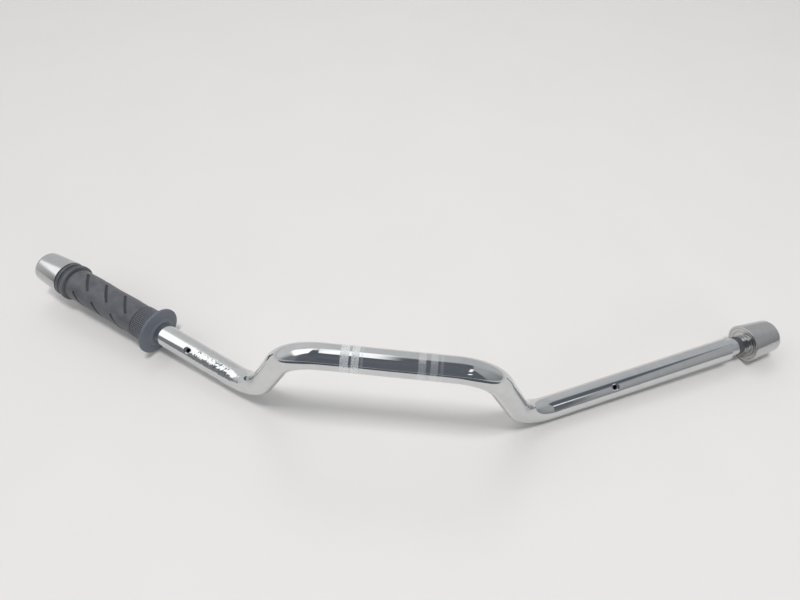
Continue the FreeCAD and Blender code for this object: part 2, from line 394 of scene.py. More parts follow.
# %% [markdown]
# ## The tube
#
# A curve with a round bevel would give the bends, but not the wall, the chamfered ends or the
# drilled holes. So the centre line is walked as straight lengths and arcs, a ring of points is
# laid square to it at each station, outside and inside, and the holes are cut afterwards. The
# walk is denser in the bends than in the straights.

# %% Walking the centre line
STRAIGHT_STEP = 8.0
BEND_STEPS = 36


def centre_line():
    """Stations (point, direction) along the bar, in mm, from the left end to the right end."""
    stations = [(corners[0], (corners[1] - corners[0]).normalized())]
    cursor = corners[0]
    for before, corner, after in zip(corners, corners[1:], corners[2:]):
        inward = (corner - before).normalized()
        outward = (after - corner).normalized()
        bend = inward.angle(outward)
        setback = BEND_R * math.tan(bend / 2.0)
        foot = corner - inward * setback
        hinge = inward.cross(outward).normalized()
        centre = foot + hinge.cross(inward) * BEND_R
        runs = max(2, int((foot - cursor).length / STRAIGHT_STEP))
        for count in range(1, runs):
            stations.append((cursor.lerp(foot, count / runs), inward))
        for count in range(BEND_STEPS + 1):
            turn = Matrix.Rotation(bend * count / BEND_STEPS, 3, hinge)
            stations.append((centre + turn @ (foot - centre), turn @ inward))
        cursor = corner + outward * setback
    last = (corners[-1] - cursor).normalized()
    runs = int((corners[-1] - cursor).length / STRAIGHT_STEP)
    for count in range(1, runs + 1):
        stations.append((cursor.lerp(corners[-1], count / runs), last))
    return stations


STATIONS = centre_line()
bar_length = sum((b[0] - a[0]).length for a, b in zip(STATIONS, STATIONS[1:]))
print("centre line:", len(STATIONS), "stations,", round(bar_length, 1), "mm")

# %% Rings along the centre line
AROUND = 96


def sweep_rings(build, stations, radius):
    """Rings of points round the centre line, without twist from one station to the next."""
    side = stations[0][1].orthogonal().normalized()
    heading = stations[0][1]
    rings = []
    for point, along in stations:
        side = heading.rotation_difference(along) @ side
        side = (side - along * side.dot(along)).normalized()
        other = along.cross(side)
        heading = along
        ring = []
        for count in range(AROUND):
            turn = math.tau * count / AROUND
            offset = (side * math.cos(turn) + other * math.sin(turn)) * radius(point)
            ring.append(build.verts.new((point + offset) * MM))
        rings.append(ring)
    return rings


def bridge(build, one, two):
    """Faces between two rings."""
    for count in range(AROUND):
        after = (count + 1) % AROUND
        build.faces.new((one[count], one[after], two[after], two[count]))


# %% Tube mesh with a wall and chamfered ends
CHAMFER = 0.6


def tube_mesh():
    """Outside and inside skins of the bar, joined by its end faces."""
    start, finish = STATIONS[0], STATIONS[-1]
    inset_start = (start[0] + start[1] * CHAMFER, start[1])
    inset_finish = (finish[0] - finish[1] * CHAMFER, finish[1])
    outside = [start, inset_start] + STATIONS[1:-1] + [inset_finish, finish]
    ends = (start[0], finish[0])
    build = bmesh.new()
    outer = sweep_rings(build, outside, lambda p: TUBE_R - CHAMFER if p in ends else TUBE_R)
    inner = sweep_rings(build, STATIONS, lambda p: BORE_R)
    for rings in (outer, inner):
        for one, two in zip(rings, rings[1:]):
            bridge(build, one, two)
    bridge(build, outer[0], inner[0])
    bridge(build, outer[-1], inner[-1])
    bmesh.ops.recalc_face_normals(build, faces=build.faces)
    return to_mesh(build, "bar_tube")


# %% [markdown]
# The drilled holes are cut with a boolean, which keeps the wall's thickness visible in them.
# Each hole's edge was broken with a wide countersink before plating, which catches the light
# as a ring. A boolean leaves long thin faces round the hole that would shade badly in a mirror
# finish, so the exact normals are then written in: on the outside, the direction straight out
# from the centre line. Faces that look outward are plated; the others are bare steel.

# %% Cutting with a boolean


def cut_away(target, cutter, crossed=False):
    """Subtract a cutter from a piece and remove the cutter; its parts may cross each other."""
    cut = target.modifiers.new("cut", "BOOLEAN")
    cut.operation = "DIFFERENCE"
    cut.solver = "EXACT"
    cut.use_self = crossed
    cut.object = cutter
    bpy.context.view_layer.update()
    done = bpy.data.meshes.new_from_object(
        target.evaluated_get(bpy.context.evaluated_depsgraph_get()))
    target.modifiers.clear()
    target.data = done
    bpy.data.objects.remove(cutter)


# %% Drilling the holes: arm, place along it, turn about it in degrees
HOLES = (("right", -133.0, 30.0), ("left", -148.0, -30.0),
         ("right", -53.0, 180.0), ("left", -53.0, 180.0))
HOLE_R = 2.5
SINK_DEEP = 1.1
SINK_R = HOLE_R + 2.7
DRILL_TIP = 5.0
DRILL_TOP = 16.0


def drill(side, along, turn):
    """Cutter for one radial hole, with a countersink that breaks its edge."""
    outline = [(DRILL_TIP, 0.0), (DRILL_TIP, HOLE_R), (TUBE_R - SINK_DEEP, HOLE_R),
               (TUBE_R + 0.5, SINK_R), (DRILL_TOP, SINK_R), (DRILL_TOP, 0.0)]
    cutter = linked("drill", spin("drill", outline, around=64))
    swing = Matrix.Rotation(math.radians(turn), 4, "Z")
    upright = Matrix.Rotation(math.radians(90), 4, "Y")
    cutter.matrix_world = FRAMES[side] @ Matrix.Translation((0, 0, along * MM)) @ swing @ upright
    return cutter


# %% True normals for the mirror finish


def outward_at(point):
    """Direction straight out from the centre line at a point near the tube's skin, in mm."""
    nearest = min(STATIONS, key=lambda s: (point - s[0]).length_squared)
    index = STATIONS.index(nearest)
    best = None
    for low in (max(index - 1, 0), min(index, len(STATIONS) - 2)):
        (start, start_dir), (finish, finish_dir) = STATIONS[low], STATIONS[low + 1]
        span = finish - start
        part = min(1.0, max(0.0, (point - start).dot(span) / span.length_squared))
        foot = start.lerp(finish, part)
        gap = (point - foot).length
        if best is None or gap < best[0]:
            best = (gap, foot, start_dir.lerp(finish_dir, part).normalized())
    _, foot, along = best
    away = point - foot
    return (away - along * away.dot(along)).normalized()


SKIN_DOT = 0.93
PLATED_DOT = 0.5


def finish_skin(mesh):
    """Exact normals on the outer skin; chrome on what looks outward, bare steel elsewhere."""
    exact = {}
    normals = []
    for face in mesh.polygons:
        outward = outward_at(Vector(face.center) / MM).dot(face.normal)
        face.material_index = 0 if outward > PLATED_DOT else 1
        face.use_smooth = True
        skin = face.area > 0 and outward > SKIN_DOT
        for corner in face.vertices:
            if skin and corner not in exact:
                exact[corner] = outward_at(Vector(mesh.vertices[corner].co) / MM)
            normals.append(exact[corner] if skin else Vector(face.normal))
    mesh.normals_split_custom_set(normals)


# %% Make the tube
bar = piece("bar_tube", tube_mesh(), CHROME, ["handlebar_tube"])
for hole in HOLES:
    cut_away(bar, drill(*hole))
bar.data.materials.append(BARE_STEEL)
finish_skin(bar.data)
print("bar_tube after drilling:", len(bar.data.polygons), "faces")

# %% [markdown]
# ## Moulded rubber
#
# Grip rubber is a black, carbon-filled compound, moulded in a lightly etched tool. New it is
# nearly black; handled and dusty it greys a little, most where the light grazes it. Rubber
# has an index of refraction near 1.52 and is fairly rough. The etched grain is about 0.5 mm
# and the dust comes in soft patches of a centimetre or two.

# %% Rubber material
RUBBER_IOR = 1.52


def grip_painted_light(tree, place, skin, pale):
    """Grip colour: painted shade in the recesses, painted light on stud tops and the flange."""
    where = add(tree, "ShaderNodeSeparateXYZ", {0: place.outputs["Object"]})
    flat = add(tree, "ShaderNodeCombineXYZ", {0: where.outputs[0], 1: where.outputs[1]})
    radius = add(tree, "ShaderNodeVectorMath", {0: flat.outputs[0]}, operation="LENGTH")
    sunk = add(tree, "ShaderNodeMapRange", {"Value": radius.outputs["Value"],
                                            "From Min": 16.3 * MM, "From Max": 15.6 * MM})
    body = add(tree, "ShaderNodeMapRange", {"Value": where.outputs[2], "From Min": -99.6 * MM,
                                            "From Max": -98.6 * MM})
    # Painted shade: the slots, the groove beside the band and the gap by the beads are darkened.
    groove = add(tree, "ShaderNodeMath", {0: sunk.outputs[0], 1: body.outputs[0]},
                 operation="MULTIPLY")
    slot_shaded = add(tree, "ShaderNodeMix", {"Factor": groove.outputs[0], 6: skin,
                                        7: linear("#303236")}, data_type="RGBA")
    # On the stud band the tops are painted lighter and the grooves darker: painted light and
    # shade of the relief.
    tall = add(tree, "ShaderNodeMapRange", {"Value": radius.outputs["Value"],
                                            "From Min": 16.6 * MM, "From Max": 17.0 * MM})
    band = add(tree, "ShaderNodeMapRange", {"Value": where.outputs[2], "From Min": -80.0 * MM,
                                            "From Max": -81.0 * MM})
    studs = add(tree, "ShaderNodeMix", {"Factor": tall.outputs[0], 6: linear("#383a3f"),
                                        7: linear("#787b82")}, data_type="RGBA")
    band_shaded = add(tree, "ShaderNodeMix", {"Factor": band.outputs[0], 6: slot_shaded.outputs[2],
                                          7: studs.outputs[2]}, data_type="RGBA")
    # The flange takes a paler bluish colour: a painted sheen standing in for the light it
    # mirrors.
    return add(tree, "ShaderNodeMix", {"Factor": body.outputs[0], 6: pale,
                                       7: band_shaded.outputs[2]}, data_type="RGBA").outputs[2]


def rubber(name, deep, dusty, rough, grain_mm, grain_depth, flange_sheen_hex=None):
    """Carbon-filled moulded rubber, etched and dusty; the grip adds painted light and shade."""
    material, tree = new_material(name)
    place = add(tree, "ShaderNodeTexCoord")
    film = add(tree, "ShaderNodeTexNoise", {"Vector": place.outputs["Object"],
                                            "Scale": 1.0 / (14.0 * MM), "Detail": 4.0})
    specks = add(tree, "ShaderNodeTexNoise", {"Vector": place.outputs["Object"],
                                              "Scale": 1.0 / (1.2 * MM), "Detail": 2.0})
    dust = add(tree, "ShaderNodeMapRange", {"Value": film.outputs[0], "From Min": 0.35,
                                            "From Max": 0.7})
    speckle = add(tree, "ShaderNodeMapRange", {"Value": specks.outputs[0], "From Min": 0.64,
                                               "From Max": 0.72, "To Max": 0.5})
    both = add(tree, "ShaderNodeMath", {0: dust.outputs[0], 1: speckle.outputs[0]},
               operation="ADD", use_clamp=True)
    colour = add(tree, "ShaderNodeMix", {"Factor": both.outputs[0], 6: linear(deep),
                                         7: linear(dusty)}, data_type="RGBA")
    skin = colour.outputs[2]
    if flange_sheen_hex:
        skin = grip_painted_light(tree, place, skin, linear(flange_sheen_hex))
    etched = add(tree, "ShaderNodeTexNoise", {"Vector": place.outputs["Object"],
                                              "Scale": 1.0 / (grain_mm * MM), "Detail": 3.0})
    bump = add(tree, "ShaderNodeBump", {"Height": etched.outputs[0], "Strength": 0.6,
                                        "Distance": grain_depth * MM})
    roughness = add(tree, "ShaderNodeMapRange", {"Value": film.outputs[0], "From Min": 0.3,
                                                 "From Max": 0.7, "To Min": rough - 0.06,
                                                 "To Max": rough + 0.08})
    finish_material(tree, {"Base Color": skin, "Roughness": roughness.outputs[0],
                           "IOR": RUBBER_IOR, "Normal": bump.outputs[0]})
    return material


# The grip's last colour is the painted bluish sheen on its flange.
GRIP_RUBBER = rubber("moulded_grip_rubber", "#4b4e53", "#66676b", 0.46, 0.5, 0.05, "#646a73")
RING_RUBBER = rubber("moulded_ring_rubber", "#3f4247", "#505358", 0.5, 0.6, 0.04)
CUSHION_RUBBER = rubber("plain_cushion_rubber", "#1b1b1c", "#2c2c2d", 0.7, 0.8, 0.06)
print("materials", GRIP_RUBBER.name, RING_RUBBER.name, CUSHION_RUBBER.name)

# %% [markdown]
# ## The left grip
#
# One moulding: a thin flange towards the rider's controls, a band of small square studs next
# to it, a plain body with rows of slanted finger slots, and three beads at the outer end.
# The outline is spun, and while it is spun each point's radius is lowered where a slot or a
# groove between studs runs, so slots and studs are real shape, with painted light and shade.

# %% Grip sizes
GRIP_R = 16.5
BAND = (-99.0, -81.2)
STUD_PITCH = 1.9
STUDS_AROUND = 56
GROOVE_DEPTH = 0.6
SLOT_TOPS = (-3.5, -29.3, -55.0)
SLOT_RUN = -15.6
SLOT_TURNS = (math.radians(33.0), math.radians(-23.3))
SLOT_ROWS = 4
SLOT_HALF = 1.55
SLOT_DEPTH = 1.05


def step(value, low, high):
    """Smooth step from 0 to 1."""
    part = min(1.0, max(0.0, (value - low) / (high - low)))
    return part * part * (3.0 - 2.0 * part)


def slot_depth(z, turn):
    """Depth of the slanted slots at a place on the body."""
    deepest = 0.0
    span = SLOT_TURNS[1] - SLOT_TURNS[0]
    around_mm = GRIP_R * span
    length = math.hypot(around_mm, SLOT_RUN)
    for row in range(SLOT_ROWS):
        local = (turn - row * math.tau / SLOT_ROWS + math.pi) % math.tau - math.pi
        across = GRIP_R * (local - SLOT_TURNS[0])
        for top in SLOT_TOPS:
            down = z - top
            along = (across * around_mm + down * SLOT_RUN) / length
            off = (across * SLOT_RUN - down * around_mm) / length
            beyond = max(-along, 0.0, along - length)
            gap = math.hypot(beyond, off)
            if gap < SLOT_HALF + 0.5:
                wall = step(gap, SLOT_HALF - 0.7, SLOT_HALF + 0.1)
                deepest = max(deepest, SLOT_DEPTH * (1.0 - wall))
    return deepest


def stud_depth(z, turn):
    """Depth of the grooves between the small square studs of the band."""
    low, high = BAND
    if not low < z < high:
        return 0.0
    ring = abs((z - low) / STUD_PITCH % 1.0 - 0.5) * 2.0
    lengthwise = abs(turn / math.tau * STUDS_AROUND % 1.0 - 0.5) * 2.0
    return GROOVE_DEPTH * max(step(ring, 0.5, 0.8), step(lengthwise, 0.45, 0.75))


def grip_shape(z, radius, turn):
    """Radius of the grip's outer skin at a place."""
    if radius < 15.7 or radius > 17.4 or z > 8.1:
        return radius
    if z < -80.6:
        return radius - stud_depth(z, turn)
    palm = 0.18 * math.sin(math.tau * (z + 80.0) / 44.0 - 1.2)
    return radius + palm - slot_depth(z, turn)


# %% Grip outline and mesh


def grip_outline():
    """Outline of the grip from its inboard bore, over the outside, to the lip, in mm."""
    coarse = [(-107.4, 11.16), (-107.4, 13.2), (-105.4, 14.2), (-104.7, 19.0), (-103.7, 24.2),
              (-101.0, 24.2), (-100.2, 19.0), (-99.3, 17.25), (-81.0, 17.05), (-80.7, 15.6),
              (-80.2, 16.5), (8.1, 16.5), (8.4, 15.8), (8.9, 15.8), (9.2, 19.2), (12.8, 19.2),
              (13.4, 17.6), (14.4, 17.2), (14.8, 17.9), (15.9, 17.9), (16.3, 16.9),
              (16.8, 17.0), (17.0, 18.3), (20.65, 18.3), (20.65, 9.75), (0.45, 9.75),
              (0.45, 11.16)]
    smooth = rounded(coarse, 0.7)
    fine = []
    for one, two in zip(smooth, smooth[1:]):
        walked = 0.24 if one.y > 15.5 and two.y > 15.5 and one.x < 8.1 else 2.0
        runs = max(1, int((two - one).length / walked))
        fine += [one.lerp(two, count / runs) for count in range(runs)]
    return fine + [smooth[-1]]


grip_mesh = spin("left_grip_skin", closed([tuple(p) for p in grip_outline()]), around=336,
                 shape=grip_shape)
grip = piece("left_grip_skin", grip_mesh, GRIP_RUBBER, ["left_grip"], "left")

# %% [markdown]
# ## Turned and plated weights
#
# The outer weights are turned from steel bar and plated. Turning leaves a very fine spiral
# that spreads reflections into a streak across the cut, on the cone along its length and on
# the flat face as a bright fan. Blender calls this anisotropy; the direction of the cut is
# the tangent round the Z axis, which the Tangent node gives for the object's own Z.

# %% Turned chrome material


def turned_plate(name, colour_light, colour_dark, rough, spiral_mm):
    """Plated turned steel: anisotropic along the tool marks, with handling wear."""
    material, tree = new_material(name)
    place = add(tree, "ShaderNodeTexCoord")
    round_axis = add(tree, "ShaderNodeTangent", direction_type="RADIAL", axis="Z")
    wear = add(tree, "ShaderNodeTexNoise", {"Vector": place.outputs["Object"],
                                            "Scale": 1.0 / (5.0 * MM), "Detail": 5.0})
    colour = add(tree, "ShaderNodeMix", {"Factor": wear.outputs[0], 6: linear(colour_light),
                                         7: linear(colour_dark)}, data_type="RGBA")
    roughness = add(tree, "ShaderNodeMapRange", {"Value": wear.outputs[0], "From Min": 0.35,
                                                 "From Max": 0.7, "To Min": rough,
                                                 "To Max": rough + 0.05})
    where = add(tree, "ShaderNodeSeparateXYZ", {0: place.outputs["Object"]})
    flat = add(tree, "ShaderNodeCombineXYZ", {0: where.outputs[0], 1: where.outputs[1]})
    radius = add(tree, "ShaderNodeVectorMath", {0: flat.outputs[0]}, operation="LENGTH")
    both = add(tree, "ShaderNodeMath", {0: radius.outputs["Value"], 1: where.outputs[2]},
               operation="ADD")
    turns = add(tree, "ShaderNodeMath", {0: both.outputs[0], 1: math.tau / (spiral_mm * MM)},
                operation="MULTIPLY")
    ridge = add(tree, "ShaderNodeMath", {0: turns.outputs[0]}, operation="SINE")
    bump = add(tree, "ShaderNodeBump", {"Height": ridge.outputs[0], "Strength": 0.25,
                                        "Distance": 0.01 * MM})
    finish_material(tree, {"Base Color": colour.outputs[2], "Metallic": 1.0,
                           "Roughness": roughness.outputs[0], "Anisotropic": 0.4,
                           "Tangent": round_axis.outputs[0], "Normal": bump.outputs[0]})
    return material


WEIGHT_PLATE = turned_plate("turned_plated_steel", "#c8c8c8", "#bcbcbc", 0.12, 0.8)
ZINC_PLATE = turned_plate("bright_zinc_plate", "#dedfe1", "#c8cacd", 0.24, 1.0)
SCREW_PLATE = turned_plate("zinc_plated_screw_steel", "#c9c9c8", "#aeb0b0", 0.28, 0.7)
print("materials", WEIGHT_PLATE.name, ZINC_PLATE.name, SCREW_PLATE.name)

# %% Outer weights
FACE_Z = 21.0


def weight_outline():
    """Outline of an outer weight: bore, boss, grooved face, taper, round tip, screw seat."""
    tip = FACE_Z + 33.0
    coarse = [(16.05, 3.3), (16.05, 9.0), (FACE_Z, 9.0), (FACE_Z, 12.4), (FACE_Z + 0.45, 12.5),
              (FACE_Z + 0.45, 13.0), (FACE_Z, 13.1), (FACE_Z, 15.8), (FACE_Z + 0.4, 15.9),
              (FACE_Z + 0.4, 16.4), (FACE_Z, 16.5), (FACE_Z, 18.75), (tip - 0.02, 15.9),
              (tip - 0.02, 6.25), (tip - 3.0, 3.3)]
    softened = rounded(coarse[:12], 0.35) + rounded(coarse[11:14], 4.6, steps=12)[1:]
    return closed([tuple(p) for p in rounded_rim(softened)] + [coarse[-1]])


def rounded_rim(points):
    """Break the inner rim where the face meets the taper."""
    rim = next(i for i, p in enumerate(points) if p.y > 18.7)
    before, corner, after = points[rim - 1], points[rim], points[rim + 1]
    return points[:rim] + rounded([before, corner, after], 0.6)[1:-1] + points[rim + 1:]


for side in ("right", "left"):
    piece("outer_weight_skin_" + side, spin("outer_weight_skin_" + side, weight_outline(), 160),
          WEIGHT_PLATE, ["outer_weight_" + side], side)

# %% Rubber rings and inner weights


def ring_outline():
    """Outline of the squeezed rubber ring, bulging a little between the metal faces."""
    coarse = [(10.55, 3.4), (10.55, 8.7), (11.6, 9.25), (13.2, 9.3), (14.9, 9.25), (15.95, 8.7),
              (15.95, 3.4)]
    return closed([tuple(p) for p in rounded(coarse, 0.7)])


def inner_weight_outline():
    """Outline of the inner weight: head, slim rod, collar, tapped hole."""
    coarse = [(-95.0, 0.0), (-95.0, 8.2), (-91.0, 8.2), (-91.0, 6.5), (-14.0, 6.5),
              (-14.0, 8.74), (10.5, 8.74), (10.5, 3.03), (-12.0, 3.03), (-12.0, 0.0)]
    return [tuple(p) for p in rounded(coarse, 0.5)]


for side in ("right", "left"):
    piece("rubber_ring_skin_" + side, spin("rubber_ring_skin_" + side, ring_outline(), 96),
          RING_RUBBER, ["rubber_ring_" + side], side)
    piece("inner_weight_skin_" + side,
          spin("inner_weight_skin_" + side, inner_weight_outline(), 96),
          ZINC_PLATE, ["inner_weight_" + side], side)

# %% [markdown]
# ## Screws
#
# The M6 oval-head screws sit in a cone in the weight's outer end. The stem is spun like the
# rest, and the cross in the head is cut with two small tapered bars joined into one cutter.

# %% Screw mesh with its cross


def screw_outline():
    """Outline of the screw from its tip to the crown of its oval head."""
    seat = FACE_Z + 33.0
    stem = [(-6.0, 0.0), (-6.0, 2.4), (-5.2, 3.0), (seat - 3.0, 3.0), (seat, 6.0)]
    dome = [(seat + 1.2 * math.sin(math.radians(a)), 6.0 * math.cos(math.radians(a)))
            for a in range(9, 90, 9)]
    return stem + dome + [(seat + 1.2, 0.0)]


def cross_cutter():
    """Two crossed bars, narrower at the bottom, that cut the driver recess."""
    build = bmesh.new()
    top, floor = FACE_Z + 35.0, FACE_Z + 31.7
    for quarter in (0.0, math.pi / 2.0):
        made = bmesh.ops.create_cube(build, size=1.0)["verts"]
        for point in made:
            low = point.co.z < 0
            long_half, wide_half = (1.5, 0.45) if low else (3.4, 0.75)
            spot = Vector((math.copysign(long_half, point.co.x),
                           math.copysign(wide_half, point.co.y), floor if low else top))
            point.co = Matrix.Rotation(quarter, 3, "Z") @ spot * MM
    return linked("cross", to_mesh(build, "cross"))


for side in ("right", "left"):
    screw = piece("end_screw_skin_" + side, spin("end_screw_skin_" + side, screw_outline(), 64),
                  SCREW_PLATE, ["end_screw_" + side], side)
    cross = cross_cutter()
    cross.matrix_world = FRAMES[side]
    cut_away(screw, cross, crossed=True)
    screw.data.set_sharp_from_angle(angle=math.radians(35))

# %% [markdown]
# ## Pieces kept from the CAD
#
# Cushions and spring sleeves sit deep inside the tube. Their CAD shapes are already right, so
# they only get a finish: plain rubber, and spring steel that was hardened and oiled.

# %% Oiled spring steel


def oiled_spring_steel():
    """Dark hardened steel with a thin uneven oil film."""
    material, tree, film, inputs = mottled("oiled_spring_steel", 4.0, 4.0,
                                           ("#5e6064", "#8a8781"), (0.22, 0.45))
    bump = add(tree, "ShaderNodeBump", {"Height": film.outputs[0], "Strength": 0.2,
                                        "Distance": 0.02 * MM})
    finish_material(tree, inputs | {"Metallic": 1.0, "Normal": bump.outputs[0]})
    return material


SPRING_STEEL = oiled_spring_steel()
KEPT = {"cushion": CUSHION_RUBBER, "retainer": SPRING_STEEL, "handlebar_tube": CHROME,
        "left_grip": GRIP_RUBBER, "inner_weight": ZINC_PLATE, "rubber_ring": RING_RUBBER,
        "outer_weight": WEIGHT_PLATE, "end_screw": SCREW_PLATE}
for name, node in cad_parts.items():
    finish = next(m for start, m in KEPT.items() if name.startswith(start))
    node.data.materials.clear()
    node.data.materials.append(finish)
print("CAD nodes with a finish:", len(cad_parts))

# %% [markdown]
# ## The bench
#
# The bar rests on three points: the rim of the grip's flange, the bare arm's weight and the
# bend next to it. A plane through the lowest points of those three pieces is the bench top.
# It is a degree or so out of level with the bar, which is how the real one lies.

# %% Bench plane from the three resting points


def lowest(node, normal, keep=lambda p: True):
    """The point of a CAD node that lies lowest along a direction."""
    return min((v.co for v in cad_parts[node].data.vertices if keep(v.co)),
               key=lambda co: co.dot(normal))


def bench_plane():
    """Point and normal of the plane the bar rests on."""
    normal = Vector((0, 0, 1))
    for _ in range(4):
        flange = lowest("left_grip", normal)
        weight = lowest("outer_weight_right", normal)
        bend = lowest("handlebar_tube", normal, lambda p: p.x > 0.05)
        normal = (bend - flange).cross(weight - flange).normalized()
        if normal.z < 0:
            normal = -normal
    return flange.copy(), normal


bench_point, bench_normal = bench_plane()
print("bench tilt, degrees:", round(math.degrees(bench_normal.angle(Vector((0, 0, 1)))), 2))

# %% [markdown]
# The bench top is matt white laminate: a pale warm white, wiped and slightly uneven. Its faint
# unevenness is centimetres wide and its orange-peel surface about 2 mm. Its sheen is kept low
# so that a low view doesn't mirror the surroundings in it.

# %% White laminate and the bench top


def white_laminate():
    """Pale, nearly matt bench top."""
    material, tree, _, inputs = mottled("white_laminate", 120.0, 3.0, ("#e7e4e1", "#e2e0de"),
                                        (0.55, 0.7))
    place = add(tree, "ShaderNodeTexCoord").outputs["Object"]
    peel = add(tree, "ShaderNodeTexNoise", {"Vector": place, "Scale": 1.0 / (2.0 * MM),
                                            "Detail": 1.0})
    bump = add(tree, "ShaderNodeBump", {"Height": peel.outputs[0], "Strength": 0.15,
                                        "Distance": 0.05 * MM})
    finish_material(tree, inputs | {"Specular IOR Level": 0.15, "Normal": bump.outputs[0]})
    return material


BENCH_HALF = 6.0
BENCH_GAP = 0.0002
floor_build = bmesh.new()
bmesh.ops.create_grid(floor_build, x_segments=8, y_segments=8, size=BENCH_HALF)
floor = linked("bench_top", to_mesh(floor_build, "bench_top"))
bench_tilt = Vector((0, 0, 1)).rotation_difference(bench_normal).to_matrix().to_4x4()
floor.matrix_world = Matrix.Translation(bench_point - bench_normal * BENCH_GAP) @ bench_tilt
floor.data.materials.append(white_laminate())

# %% [markdown]
# ## Light
#
# Chrome is drawn by what stands round it. Here that is a pale workshop beyond the bar, a dark
# blue-grey room in front that reaches just past overhead, and a soft window overhead on the
# left, in two panes. So every tube shows a pale band, a bright streak, a dark band and the pale
# bench below. Each area is bounded by planes through the bar, given as the direction that
# points into the area, because a plane's edge stays straight in the mirror of a tube.

# %% Areas of the surroundings


def side_of(tree, where, plane, edge):
    """Soft mask of the directions on the inner side of a plane through the bar."""
    depth = add(tree, "ShaderNodeVectorMath", {0: where, 1: plane}, operation="DOT_PRODUCT")
    return add(tree, "ShaderNodeMapRange", {"Value": depth.outputs["Value"], "From Min": -edge,
                                            "From Max": edge}, interpolation_type="SMOOTHSTEP")


def area(tree, where, sides, operation="MULTIPLY"):
    """Mask of the directions inside every one of some (plane, edge) sides, or inside any."""
    masks = [side_of(tree, where, plane, edge) for plane, edge in sides]
    total = masks[0]
    for one in masks[1:]:
        total = add(tree, "ShaderNodeMath", {0: total.outputs[0], 1: one.outputs[0]},
                    operation=operation)
    return total


def pane(left, right, near, far, edge):
    """Sides of a soft rectangle overhead, given as slopes from straight up."""
    return (((1.0, 0.0, -left), edge), ((-1.0, 0.0, right), edge),
            ((0.0, 1.0, -near), edge), ((0.0, -1.0, far), edge))


def blend(tree, factor, one, two):
    """Colour that goes from one to two with the factor."""
    return add(tree, "ShaderNodeMix", {"Factor": factor.outputs[0], 6: one, 7: two},
               data_type="RGBA").outputs[2]


# %% Sides and brightness of each area
RIGHT_WALL = (((0.3, -1.0, 0.1), 0.25),)
SHADED_CORNER = (((-1.0, 0.0, -0.1), 0.1), ((0.375, -0.927, 0.0), 0.04))
ROOM_RIGHT = (((-1.0, 0.0, 0.6), 0.05), ((-0.7, -0.68, 0.24), 0.03))
ROOM = (((0.0, -1.0, 0.45), 0.1), ((0.9, -0.75, 0.42), 0.06))
ROOM_BLUE = (0.118, 0.140, 0.172, 1.0)
ROOM_GREY = (0.165, 0.165, 0.185, 1.0)
WINDOW_GAP = pane(-0.45, -0.19, -0.6, 0.3, 0.03)
BIG_WINDOW = (((-0.96, 0.27, -0.45), 0.02), ((-0.52, 0.86, -0.095), 0.03),
              ((0.0, -1.0, 0.48), 0.1), ((1.0, 0.0, 1.6), 0.15))
BRIGHT_AREAS = ((pane(-0.62, -0.24, 0.28, 0.66, 0.05), 1.0),
                (BIG_WINDOW, 1.6),
                (pane(-0.175, -0.045, -0.1, 0.7, 0.03), 1.5),
                (pane(0.5, 0.64, -0.72, -0.2, 0.02), 1.4),
                (pane(0.7, 0.92, -1.8, -1.38, 0.02), 1.8))

# %% World


def grey(level, blue=0.0):
    """Radiance of a neutral or slightly blue surface."""
    return (level * (1.0 - blue), level, level * (1.0 + blue), 1.0)


def pale_workshop(tree, where):
    """Pale walls, darker to the right, with one shaded corner."""
    axes = add(tree, "ShaderNodeSeparateXYZ", {0: where})
    across = add(tree, "ShaderNodeMapRange", {"Value": axes.outputs[0], "From Min": -0.25,
                                              "From Max": 0.2})
    colour = blend(tree, across, grey(0.72, 0.01), grey(0.57, 0.02))
    low = add(tree, "ShaderNodeMapRange", {"Value": axes.outputs[2], "From Min": 0.05,
                                           "From Max": 0.6})
    right_wall = blend(tree, low, grey(0.3, 0.04), grey(0.46, 0.02))
    colour = blend(tree, area(tree, where, RIGHT_WALL), colour, right_wall)
    return blend(tree, area(tree, where, SHADED_CORNER), colour, grey(0.26, 0.05))


def dark_room(tree, where):
    """Blotchy dark colour between blue and grey."""
    blotch = add(tree, "ShaderNodeTexNoise", {"Vector": where, "Scale": 5.0, "Detail": 4.0})
    patchy = add(tree, "ShaderNodeMapRange", {"Value": blotch.outputs[0], "From Min": 0.38,
                                              "From Max": 0.62})
    return blend(tree, patchy, ROOM_BLUE, ROOM_GREY)


def surroundings():
    """Workshop, dark room in front, then the windows and lamps, each over the ones before."""
    world = bpy.data.worlds.new("workshop")
    bpy.context.scene.world = world
    world.use_nodes = True
    tree = world.node_tree
    tree.nodes.clear()
    where = add(tree, "ShaderNodeTexCoord").outputs["Generated"]
    room = dark_room(tree, where)
    right_edge = area(tree, where, ROOM_RIGHT, "MAXIMUM")
    dark = add(tree, "ShaderNodeMath", {0: area(tree, where, ROOM).outputs[0],
                                        1: right_edge.outputs[0]}, operation="MULTIPLY")
    colour = blend(tree, dark, pale_workshop(tree, where), room)
    colour = blend(tree, area(tree, where, WINDOW_GAP), colour, room)
    for sides, level in BRIGHT_AREAS:
        colour = blend(tree, area(tree, where, sides), colour, grey(level))
    light = add(tree, "ShaderNodeBackground", {"Color": colour, "Strength": 1.0})
    add(tree, "ShaderNodeOutputWorld", {"Surface": light.outputs[0]})


surroundings()
print("world: dark room, window gap and", len(BRIGHT_AREAS), "bright areas")

# %% [markdown]
# Three soft lamps light the bench: one right overhead, which casts the short shadows, a window
# beyond the bar and a weak wide fill far in front. A studio would screen such lamps off from
# the chrome, so neither mirrors nor the camera see them.

# %% Lamps


def lamp(name, place, target, size, watts, tint=(1.0, 1.0, 1.0)):
    """Rectangular soft lamp that faces a point, seen by neither mirrors nor camera."""
    data = bpy.data.lights.new(name, "AREA")
    data.shape = "RECTANGLE"
    data.size, data.size_y = size
    data.energy = watts
    data.color = tint
    made = linked(name, data)
    made.location = place
    made.rotation_euler = (Vector(target) - Vector(place)).to_track_quat("-Z", "Y").to_euler()
    made.visible_glossy = False
    made.visible_camera = False
    print("lamp", name, watts, "W")


